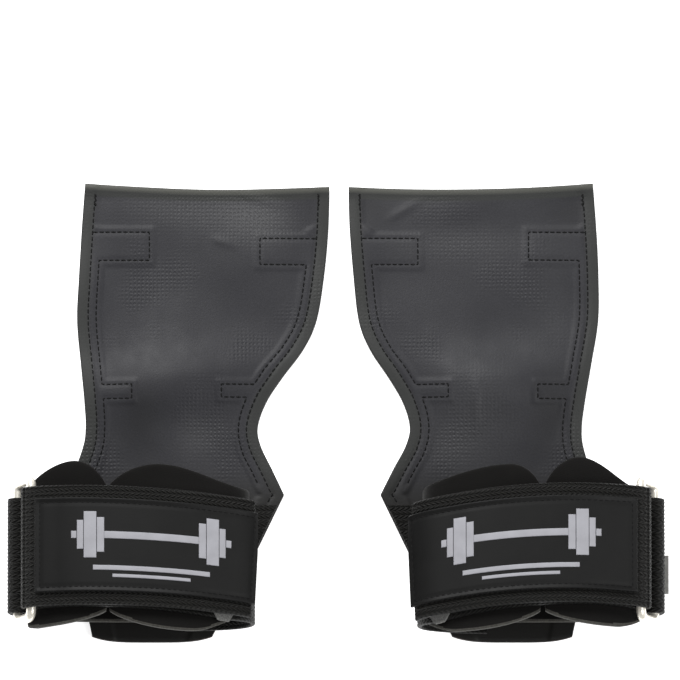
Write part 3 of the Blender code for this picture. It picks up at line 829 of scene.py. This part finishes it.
def cords(across, away):
    """The webbing's raised rows, each the width of one herringbone row."""
    return CORD_HEIGHT * np.abs(np.sin(math.pi * across / WEAVE_ROW)) * smoothstep(away / CORD_EASE)


def webbing_band(grip, name, ribbon, edges, cell=1.4 * MM, **settings):
    settings |= {"cells": (cell, WEAVE_ROW / 4), "relief": cords}
    return band(grip, name, ribbon, (0, WEBBING), edges, ["webbing"], **settings)


def build_rear(grip, flap):
    """Webbing sewn flat on the flap's root and trimmed to its slanted edge, curving up on the ring side."""
    z = CUFF_Z - HALF_HEIGHT - middle(REAR)
    curve = cuff_path(*REAR_CURVE, middle(REAR), samples=60)
    start = float(flap.inner.at(CUFF_Y + REAR_EDGES[1])) + REAR_INSET
    flat = np.stack([np.linspace(start, REAR_FLAT_END, 60), np.full(60, z)], -1)
    ribbon = Ribbon(np.concatenate([flat, curve[curve[:, 0] > REAR_FLAT_END + MM]]))

    def trim(y):
        return np.maximum(flap.inner.at(y) + REAR_INSET - start, 0)

    piece = webbing_band(grip, "rear_strap", ribbon, straight_edges(*REAR_EDGES), 0.8 * MM, trim=trim)
    grip.stand_for(piece, ["rear_webbing"], "webbing", "cuff")


def arc(centre, start, turn, samples=24):
    """Points of webbing wrapped round a bar from the direction start, turning by turn radians."""
    angle = math.atan2(start[1], start[0]) + np.linspace(0, turn, samples)
    return centre + WRAP_RADIUS * np.stack([np.cos(angle), np.sin(angle)], -1)


def bar(grip, joint):
    """The (x, z) centre of the ring bar that this joint turns about."""
    place = JOINTS[grip.name(joint)]["pos_m"]
    return np.array([grip.sign * (place[0] - grip.origin), place[2]])


def build_loop(grip):
    """Short webbing folded round the ring's lower bar, both legs sewn to the cuff."""
    centre = bar(grip, "ring_swing")
    angles = np.linspace(-0.4, 0.4, 4001)
    beside = cuff_point(angles, np.full(len(angles), BAR_OFFSET))[0]
    angle = float(angles[np.argmin(np.hypot(*(beside - centre).T))])
    normal = cuff_point(angle, 0.0)[1]

    def settle(a):
        share = (angle - a) / (angle - LOOP_END_ANGLE) / LOOP_SETTLE
        return lerp(BAR_OFFSET + WRAP_RADIUS, middle(REAR), smoothstep(share))

    inner_leg = cuff_path(LOOP_END_ANGLE, angle, middle(STRAP), samples=120)
    outer_leg = cuff_path(angle, LOOP_END_ANGLE, settle, samples=120)
    ribbon = Ribbon(np.concatenate([inner_leg[:-1], arc(centre, -normal, -math.pi), outer_leg[1:]]), centre)
    piece = webbing_band(grip, "ring_loop_strap", ribbon, straight_edges(*LOOP_EDGES), 0.7 * MM)
    grip.stand_for(piece, ["ring_loop"], "webbing", "cuff")


def build_ring(grip):
    """The rectangle of round wire. y and u run along its sides, up is u's way and out is square to both."""
    upper, lower = bar(grip, "tail_peel"), bar(grip, "ring_swing")
    span = float(np.hypot(*(upper - lower)))
    up = (upper - lower) / span
    out = np.array([up[1], -up[0]])
    angle = math.pi / 2 * (np.arange(4)[:, None] + np.linspace(0, 1, CORNER_STEPS)).ravel()
    corner_y, corner_u = (np.repeat(signs, CORNER_STEPS) for signs in ((1, -1, -1, 1), (1, 1, -1, -1)))
    turns = np.linspace(0, math.tau, WIRE_STEPS, endpoint=False)
    reach = RING_CORNER + WIRE * np.cos(turns)
    y = (corner_y * (RING_LENGTH / 2 - RING_CORNER))[:, None] + np.cos(angle)[:, None] * reach
    u = (corner_u * (span / 2 - RING_CORNER))[:, None] + np.sin(angle)[:, None] * reach
    centre = (upper + lower) / 2
    x, z = (centre[k] + up[k] * u + out[k] * WIRE * np.sin(turns) for k in range(2))
    index = np.pad(np.arange(y.size).reshape(y.shape), ((0, 1), (0, 1)), mode="wrap")
    points = np.stack([x, CUFF_Y + y, z], -1).reshape(-1, 3)
    piece = grip.add("wire_ring", points, quads(index), ["chrome"])
    grip.stand_for(piece, ["ring"], "ring_metal", "ring")


def tail_line(layer, start, end):
    """A line in the tail's stack: off the ring's bar, down on to the strap and lifting at the free end."""
    wide = BAR_OFFSET + WRAP_RADIUS - middle(TAIL)
    lift_start, lift_end = TAIL_LIFT_ANGLES

    def away(angle):
        settling = 1 - smoothstep((angle - RING_ANGLE) / TAIL_SETTLE_ANGLE)
        lifting = smoothstep((angle - lift_start) / (lift_end - lift_start))
        return middle(layer) + wide * settling + TAIL_LIFT * lifting

    return cuff_path(start, end, away)


def build_strap(grip):
    """One length of webbing, in the three stretches that move apart."""
    upper = bar(grip, "tail_peel")
    normal = cuff_point(RING_ANGLE, 0.0)[1]
    over = Ribbon(cuff_path(STRAP_START, RING_ANGLE, middle(STRAP), samples=900))
    edges = askew_edges(grip, WEBBING_WIDTH, STRAP_START, RING_ANGLE, over.length)
    piece = webbing_band(grip, "strap_over", over, edges)
    grip.stand_for(piece, ["strap_front"], "webbing")
    start, stop = (grip.on_cuff((upper[0] - away, upper[1])) for away in STRAP_BEND)
    grip.name("cuff")
    grip.name("ring")
    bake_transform(piece)
    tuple(start)
    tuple(stop)

    fold = Ribbon(arc(upper, -normal, math.pi, samples=40), upper)
    edges = straight_edges(-WEBBING_WIDTH / 2, WEBBING_WIDTH / 2)
    piece = webbing_band(grip, "strap_wrap", fold, edges, 0.6 * MM)
    grip.stand_for(piece, ["strap_fold"], "webbing")
    start, stop = (grip.on_cuff(upper + side * normal * WRAP_RADIUS) for side in (-1, 1))
    grip.name("ring")
    grip.name("tail")
    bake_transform(piece)
    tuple(start)
    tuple(stop)

    end = TAIL_END[grip.side]
    tail = Ribbon(tail_line(TAIL, RING_ANGLE, end))
    edges = askew_edges(grip, WEBBING_WIDTH, RING_ANGLE, end, tail.length, TAIL_TAPER)
    piece = webbing_band(grip, "strap_end", tail, edges, skew=TAIL_SKEW)
    grip.stand_for(piece, ["strap_tail"], "webbing", "tail")


def build_tapes(grip):
    """Loop tape on the strap, whose pale corner shows below it, and hook tape under the tail."""
    end = TAIL_END[grip.side]
    loop = Ribbon(cuff_path(TAPE_START, end - LOOP_TAPE_GAP, middle(LOOP_TAPE)))
    low, high = askew_edges(grip, TAPE_WIDTH, TAPE_START, end, loop.length)
    on_top = np.where(loop.line[:, 1] > CUFF_Z, loop.line[:, 0], np.inf)
    corner = float(loop.steps[np.argmin(np.abs(on_top - TAPE_CORNER_X[grip.side]))])

    def slanted(s):
        """The tape's lower end is cut at a slant, so that one corner stands out below the webbing."""
        return low(s) - TAPE_CORNER_DROP * np.clip(2 - 2 * np.abs(s - corner) / TAPE_CORNER_REACH, 0, 1)

    hook = Ribbon(tail_line(HOOK_TAPE, TAPE_START, end - HOOK_TAPE_GAP))
    under_tail = askew_edges(grip, TAPE_WIDTH, TAPE_START, end, hook.length)
    for kind, ribbon, layer, edges, body in (
        ("loop", loop, LOOP_TAPE, (slanted, high), "cuff"),
        ("hook", hook, HOOK_TAPE, under_tail, "tail"),
    ):
        piece = band(grip, f"closure_{kind}s", ribbon, layer, edges, [f"{kind}s"], edge=TAPE_EDGE)
        grip.stand_for(piece, [f"{kind}_tape"], "tape", body)


def build_label(grip):
    """The moulded rubber patch with its raised rim and stitched border, and the mark on it."""
    end = TAIL_END[grip.side]
    ribbon = Ribbon(tail_line(LABEL, LABEL_START, end))
    edges = askew_edges(grip, LABEL_WIDTH, LABEL_START, end, ribbon.length, TAIL_TAPER)
    top = (LABEL[1] - LABEL[0]) / 2

    def rim(across, away):
        height, width = LABEL_RIM
        sewn_in = LABEL_SEAM_DEPTH * np.exp(-(((away - LABEL_SEAM) / LABEL_SOFTNESS) ** 2))
        return height * smoothstep((width - away) / LABEL_SOFTNESS) - sewn_in

    shape = {"cells": (LABEL_CELL, LABEL_CELL), "relief": rim, "skew": TAIL_SKEW}
    piece = band(grip, "label_rubber", ribbon, LABEL, edges, ["label"], **shape)
    grip.stand_for(piece, ["label_patch"], "label_rubber", "tail")

    s = np.linspace(LABEL_SEAM, ribbon.length - LABEL_SEAM, 90)
    rows = []
    for edge, side in zip(edges, (-1, 1)):
        slant = side * TAIL_SKEW * (LABEL_WIDTH / 2 - LABEL_SEAM) / ribbon.length
        rows.append(np.stack([s * (1 + slant), edge(s) - side * LABEL_SEAM], -1))
    rows += [np.array([rows[0][k], rows[1][k]]) for k in (0, -1)]
    sewn = [ribbon.seam(row, top - LABEL_THREAD_DEPTH) for row in rows]
    thread = thread_piece(grip, "label_thread", sewn, LABEL_STITCH, LABEL_THREAD)
    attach(thread, grip.name("tail"))
    build_mark(grip, ribbon, edges, top)


def build_mark(grip, ribbon, edges, top):
    """A plain barbell over two stripes, raised in light grey: its plates stand at both ends of its bar."""
    low, high = edges
    blocks = list(MARK_BAR)
    for plate in MARK_PLATES:
        blocks += [plate, (-plate[0], *plate[1:])]
    points, faces, uvs = [], [], []
    for x, y, *size in blocks:
        halves = [length * MM / 2 for length in size]
        steps = [even_steps(2 * half, MARK_CELL, MARK_ROUNDING) - half for half in halves]
        ss, ww = np.meshgrid(*steps, indexing="ij")
        away = np.minimum(halves[0] - np.abs(ss), halves[1] - np.abs(ww))
        at = ribbon.length * MARK_PLACE[grip.side] + x * MM + ss
        yy = middle((low(at), high(at))) + y * MM + ww
        outer = ribbon.place(at, yy, top + MARK_HEIGHT * rounding(away, MARK_ROUNDING, 0.5))
        block_points, block_faces, _ = shell(outer, ribbon.place(at, yy, top - MARK_DEPTH))
        faces.append(block_faces + sum(len(block) for block in points))
        points.append(block_points)
        uvs.append(np.tile(np.stack([at, yy], -1).reshape(-1, 2), (2, 1)))
    joined = (np.concatenate(part) for part in (points, faces))
    piece = grip.add("label_mark", *joined, ["print"], np.concatenate(uvs))
    grip.stand_for(piece, ["label_print"], "label_print", "tail")


def build_tag(grip):
    """The care tag, a small woven label that springs out beside the ring's loop."""
    start, normal = cuff_point(TAG_ANGLE, REAR[1] + TAG_LIFT)
    c, s = math.cos(TAG_LEAN), math.sin(TAG_LEAN)
    along = np.array([normal[0] * s - normal[1] * c, normal[1] * s + normal[0] * c])
    t = np.linspace(0, 1, 40)[:, None]
    ribbon = Ribbon(start + along * TAG_SIZE[1] * t + normal * TAG_BOW * np.sin(math.pi * t))
    edges = straight_edges(TAG_Y, TAG_Y + TAG_SIZE[0])
    layer = (0, TAG_THICKNESS)
    piece = band(grip, "care_tag_cloth", ribbon, layer, edges, ["tag"], edge=0.25 * MM)
    grip.stand_for(piece, ["care_tag"], "tag_fabric", "tag")


# -------- looks


class Look:
    """A material under construction: a Principled shader and the nodes that feed it."""

    def __init__(self, name, **sockets):
        self.material = bpy.data.materials.new(name)
        self.material.use_nodes = True
        self.tree = self.material.node_tree
        self.shader = self.tree.nodes["Principled BSDF"]
        self.feed(self.shader, {key.replace("_", " "): value for key, value in sockets.items()})

    def feed(self, node, inputs):
        """Set the node's inputs, each to a value or to another node's output."""
        for key, value in inputs.items():
            socket = node.inputs[key]
            if isinstance(value, bpy.types.NodeSocket):
                self.tree.links.new(value, socket)
            else:
                socket.default_value = (*value, 1.0) if socket.type == "RGBA" else value

    def node(self, kind, inputs, **settings):
        made = self.tree.nodes.new(kind)
        for key, value in settings.items():
            setattr(made, key, value)
        self.feed(made, inputs)
        return made

    def uv(self, turn=0.0):
        source = self.node("ShaderNodeUVMap", {}, uv_map="cloth")
        inputs = {"Vector": source.outputs["UV"], "Rotation": (0, 0, turn)}
        return self.node("ShaderNodeMapping", inputs).outputs["Vector"]

    def value(self, name):
        return self.node("ShaderNodeAttribute", {}, attribute_name=name).outputs["Fac"]

    def math(self, operation, *values):
        return self.node("ShaderNodeMath", dict(enumerate(values)), operation=operation).outputs[0]

    def times(self, a, b):
        return self.math("MULTIPLY", a, b)

    def noise(self, scale, detail):
        inputs = {"Vector": self.uv(), "Scale": scale, "Detail": detail, "Roughness": 0.55}
        return self.node("ShaderNodeTexNoise", inputs).outputs["Fac"]

    def wave(self, pitch, turn=0.0):
        """Even ridges this far apart, running square to the turned x axis."""
        inputs = {"Vector": self.uv(turn), "Scale": math.tau / 20 / pitch}
        return self.node("ShaderNodeTexWave", inputs).outputs["Fac"]

    def mix(self, factor, a, b):
        """A colour between a and b, each a colour or an output."""
        return self.node("ShaderNodeMix", {0: factor, 6: a, 7: b}, data_type="RGBA").outputs[2]

    def range(self, value, source=(0.0, 1.0), target=(0.0, 1.0)):
        inputs = {"Value": value}
        for key, ends in (("From", source), ("To", target)):
            inputs |= {f"{key} Min": ends[0], f"{key} Max": ends[1]}
        return self.node("ShaderNodeMapRange", inputs).outputs["Result"]

    def colour(self, value):
        self.feed(self.shader, {"Base Color": value})

    def tone(self, scale, detail, dark, light, spread=(0.0, 1.0)):
        """Clouds between two colours: spread is the part of the noise that is stretched over both."""
        return self.mix(self.range(self.noise(scale, detail), spread), dark, light)

    def rough(self, scale, low, high):
        self.feed(self.shader, {"Roughness": self.range(self.noise(scale, 3), target=(low, high))})

    def bump(self, height, distance, strength=1.0, after=None):
        inputs = {"Height": height, "Distance": distance, "Strength": strength}
        if after:
            inputs["Normal"] = after
        normal = self.node("ShaderNodeBump", inputs).outputs["Normal"]
        self.feed(self.shader, {"Normal": normal})
        return normal


def plain_look(name, roughness, tone, waves=(), weave=(), grain=(), wear=(), **sockets):
    """Clouded colour over crossing ridges, a fine grain or both.

    tone is as in Look.tone; each wave is (pitch, turn); weave is the ridges' height and strength; grain is
    (scale, detail, height, strength); wear is the roughness as (scale, low, high).
    """
    look = Look(name, Roughness=roughness, **sockets)
    look.colour(look.tone(*tone))
    normal = None
    if waves:
        ridges = [look.wave(*wave) for wave in waves]
        normal = look.bump(look.times(*ridges) if len(ridges) == 2 else ridges[0], *weave)
    if grain:
        look.bump(look.noise(*grain[:2]), *grain[2:], normal)
    if wear:
        look.rough(*wear)
    return look.material


def face_look():
    """Rubber-coated cloth: in patches the weave shows as dimples, elsewhere it has a fine grain.

    Its colour holds painted highlights on the lighter patches and along the top lip, and painted shade in
    the darker patches and towards the root.
    """
    look = Look("flap_face_rubber", Roughness=0.5, Specular_IOR_Level=0.2)
    root = look.value("root")
    clear = look.math("SUBTRACT", 1.0, root)
    painted_shade_patches = look.range(look.value("pressed"), (0.0, -1.0))
    pressed = look.times(look.range(look.value("pressed")), clear)
    base = look.tone(45, 4, (0.022, 0.022, 0.026), (0.030, 0.030, 0.034), (0.3, 0.7))
    # Painted highlight: the rubber is lighter over the dimpled patches
    base = look.mix(look.times(pressed, 0.8), base, (0.078, 0.078, 0.081))
    # Painted shade: darker patches on the neck's outer half, and darker top corners
    base = look.mix(painted_shade_patches, base, (0.008, 0.008, 0.0085))
    base = look.tone(1100, 3, look.mix(0.35, base, (0.012, 0.012, 0.013)), base, (0.35, 0.7))
    edge = look.mix(look.value("border"), base, (0.027, 0.028, 0.027))
    # Painted highlight: a lighter band along the top edge's lip
    edge = look.mix(look.value("lip"), edge, (0.070, 0.071, 0.062))
    # Painted shade: darker towards the root, where the flap runs in under the cuff
    look.colour(look.mix(root, edge, (0.0115, 0.0112, 0.0105)))
    look.rough(160, 0.38, 0.56)
    cells = {"Vector": look.uv(), "Scale": 1 / DIMPLE, "Randomness": 0.22}
    cells = look.node("ShaderNodeTexVoronoi", cells, voronoi_dimensions="2D")
    dimples = look.range(cells.outputs["Distance"], (0.12, 0.42))
    scattered = look.times(look.range(look.noise(28, 2), (0.5, 0.8)), clear)
    normal = look.bump(look.times(dimples, look.math("MAXIMUM", pressed, scattered)), 0.22 * MM, 0.9)
    look.bump(look.noise(1300, 3), 0.09 * MM, 0.6, normal)
    return look.material


def webbing_look():
    """Coarse black polypropylene webbing: herringbone rows whose bars slant left and right in turn."""
    look = Look("webbing_cloth", Roughness=0.6, Specular_IOR_Level=0.2)
    along, across, _ = look.node("ShaderNodeSeparateXYZ", {0: look.uv()}).outputs
    row = look.math("DIVIDE", across, WEAVE_ROW)
    part = look.math("FRACT", row)
    odd = look.math("FLOORED_MODULO", look.math("FLOOR", row), 2.0)
    lean = look.times(look.math("SUBTRACT", look.times(odd, 2.0), 1.0), part)
    phase = look.math("ADD", look.math("DIVIDE", along, WEAVE_PITCH), lean)
    bars = look.math("SINE", look.times(phase, math.tau))
    bars = look.math("MULTIPLY_ADD", bars, 0.5, 0.5)
    cord = look.math("SINE", look.times(part, math.pi))
    height = look.times(look.math("POWER", cord, 0.6), look.math("POWER", bars, 0.7))
    fuzz = look.times(look.noise(1600, 2), 0.35)
    # Painted light and shade: the weave's raised bars are painted lighter and its grooves darker, with
    # random fuzz on top
    painted_weave_shade_and_fuzz = look.math("MULTIPLY_ADD", height, 0.8, fuzz)
    look.colour(look.mix(painted_weave_shade_and_fuzz, (0.0012, 0.0012, 0.0011), (0.0125, 0.0122, 0.0108)))
    normal = look.bump(height, 0.55 * MM, 1.0)
    look.bump(look.noise(2200, 2), 0.08 * MM, 0.6, normal)
    return look.material


UPRIGHT = math.pi / 2
ASLANT = math.pi / 4
PILE = {"grain": (1700, 2, 0.4 * MM, 0.9)}
LOOKS = {
    "face": face_look(),
    "webbing": webbing_look(),
    "backing": plain_look(
        "flap_backing_rubber", 0.6, (60, 4, (0.022, 0.022, 0.024), (0.038, 0.038, 0.040)),
        waves=((1.1 * MM, ASLANT), (1.1 * MM, -ASLANT)), weave=(0.12 * MM, 0.9),
        wear=(120, 0.5, 0.75), Specular_IOR_Level=0.35,
    ),
    # The flap's cut edge is brown where the coated cloth was trimmed
    "cut": plain_look(
        "flap_cut_edge", 0.85, (700, 3, (0.030, 0.022, 0.018), (0.095, 0.065, 0.050), (0.35, 0.65)),
        grain=(1800, 2, 0.15 * MM, 0.7),
    ),
    "strip": plain_look(
        "strip_cloth", 0.85, (900, 2, (0.030, 0.030, 0.031), (0.055, 0.054, 0.052)),
        waves=((0.8 * MM, 0.0),), weave=(0.1 * MM, 1.0),
    ),
    # Nylon jersey on neoprene is matte black with a very fine knit and a faint sheen
    "jersey": plain_look(
        "pad_jersey", 0.85, (90, 4, (0.0045, 0.0042, 0.0040), (0.0075, 0.007, 0.0065)),
        waves=((0.55 * MM, 0.0), (0.7 * MM, UPRIGHT)), weave=(0.07 * MM, 0.8),
        grain=(70, 3, 0.5 * MM, 0.35), Sheen_Weight=0.05, Sheen_Roughness=0.5, Specular_IOR_Level=0.1,
    ),
    "foam": plain_look(
        "pad_foam_edge", 0.9, (1100, 2, (0.026, 0.025, 0.021), (0.052, 0.050, 0.043), (0.35, 0.65)),
        grain=(2200, 2, 0.2 * MM, 0.8),
    ),
    "loops": plain_look(
        "closure_loop_pile", 0.95, (1300, 2, (0.10, 0.10, 0.098), (0.22, 0.22, 0.21), (0.3, 0.7)), **PILE
    ),
    "hooks": plain_look(
        "closure_hook_pile", 0.7, (1300, 2, (0.008,) * 3, (0.022,) * 3, (0.3, 0.7)), **PILE
    ),
    "chrome": plain_look(
        "ring_plating", 0.25, (60, 2, (0.93, 0.88, 0.77), (0.98, 0.95, 0.87)),
        wear=(220, 0.2, 0.4), Metallic=0.5,
    ),
    "label": plain_look(
        "label_moulding", 0.48, (50, 3, (0.0045,) * 3, (0.0075, 0.0075, 0.0073)),
        grain=(1900, 2, 0.05 * MM, 0.6), wear=(130, 0.40, 0.58), Specular_IOR_Level=0.15,
    ),
    "print": plain_look(
        "mark_moulding", 0.55, (160, 3, (0.24, 0.24, 0.26), (0.33, 0.33, 0.36)),
        grain=(1500, 2, 0.06 * MM, 0.6),
    ),
    "thread": plain_look(
        "sewing_thread", 0.7, (900, 2, (0.004,) * 3, (0.010,) * 3),
        waves=((0.35 * MM, 0.7),), weave=(0.05 * MM, 1.0), Specular_IOR_Level=0.15,
    ),
    "tag": plain_look(
        "tag_cloth", 0.85, (500, 2, (0.30, 0.30, 0.285), (0.46, 0.46, 0.44), (0.3, 0.7)),
        waves=((0.6 * MM, 0.0), (0.5 * MM, UPRIGHT)), weave=(0.1 * MM, 1.0),
    ),
}


# -------- studio

VIEW_WIDTH = 280.8 * MM
VIEW_CENTRE = Vector((PAIR_X + 0.4 * MM, 30.3 * MM, 0))
VIEW_ELEVATION = math.radians(82)
VIEW_DISTANCE = 12.0
SENSOR = 36.0
FLOOR_REACH = 6.0
FLOOR_GAP = 0.2 * MM
FLOOR_GLOW = 0.75
SKY_STRENGTH = 0.3
WHITE = (1.0, 1.0, 1.0)
LIGHTS = {"key": ((-0.35, 0.85, 1.2), 25), "fill": ((0.8, -0.4, 1.1), 9)}
LIGHT_SIZE = 0.8


def add_camera():
    data = bpy.data.cameras.new("camera")
    data.sensor_width = SENSOR
    data.lens = SENSOR * VIEW_DISTANCE / VIEW_WIDTH
    data.clip_end = 50
    camera = add_object("camera", data)
    back = Vector((0, -math.cos(VIEW_ELEVATION), math.sin(VIEW_ELEVATION)))
    camera.location = VIEW_CENTRE + back * VIEW_DISTANCE
    camera.rotation_euler = (math.pi / 2 - VIEW_ELEVATION, 0, 0)
    bpy.context.scene.camera = camera


def add_lights():
    """White surroundings, and area lights aimed at the middle of the pair."""
    scene = bpy.context.scene
    scene.view_settings.view_transform = "Standard"
    scene.world = bpy.data.worlds.new("studio")
    scene.world.use_nodes = True
    sky = scene.world.node_tree.nodes["Background"].inputs
    sky["Color"].default_value = (*WHITE, 1.0)
    sky["Strength"].default_value = SKY_STRENGTH
    for name, (place, power) in LIGHTS.items():
        data = bpy.data.lights.new(name, "AREA")
        data.size = LIGHT_SIZE
        data.energy = power
        light = add_object(name, data)
        light.location = place
        light.rotation_euler = (-Vector(place)).to_track_quat("-Z", "Y").to_euler()


def add_floor():
    """A wide sheet of white paper that glows a little, so that it stays white under the pair."""
    mesh = bpy.data.meshes.new("floor")
    corners = [(x * FLOOR_REACH, y * FLOOR_REACH, 0) for x, y in ((-1, -1), (1, -1), (1, 1), (-1, 1))]
    mesh.from_pydata(corners, [], [(0, 1, 2, 3)])
    floor = add_object("floor", mesh)
    floor.location.z = -FLOOR_GAP
    paper = {"Base_Color": WHITE, "Emission_Color": WHITE, "Emission_Strength": FLOOR_GLOW}
    mesh.materials.append(Look("floor_paper", Roughness=0.9, Specular_IOR_Level=0.1, **paper).material)


def main():
    add_camera()
    add_lights()
    add_floor()
    for side in SIDES:
        grip = Grip(side)
        build_rear(grip, build_flap(grip))
        for build in (build_pad, build_loop, build_ring, build_strap, build_tapes, build_label):
            build(grip)
    build_tag(Grip("right"))


main()
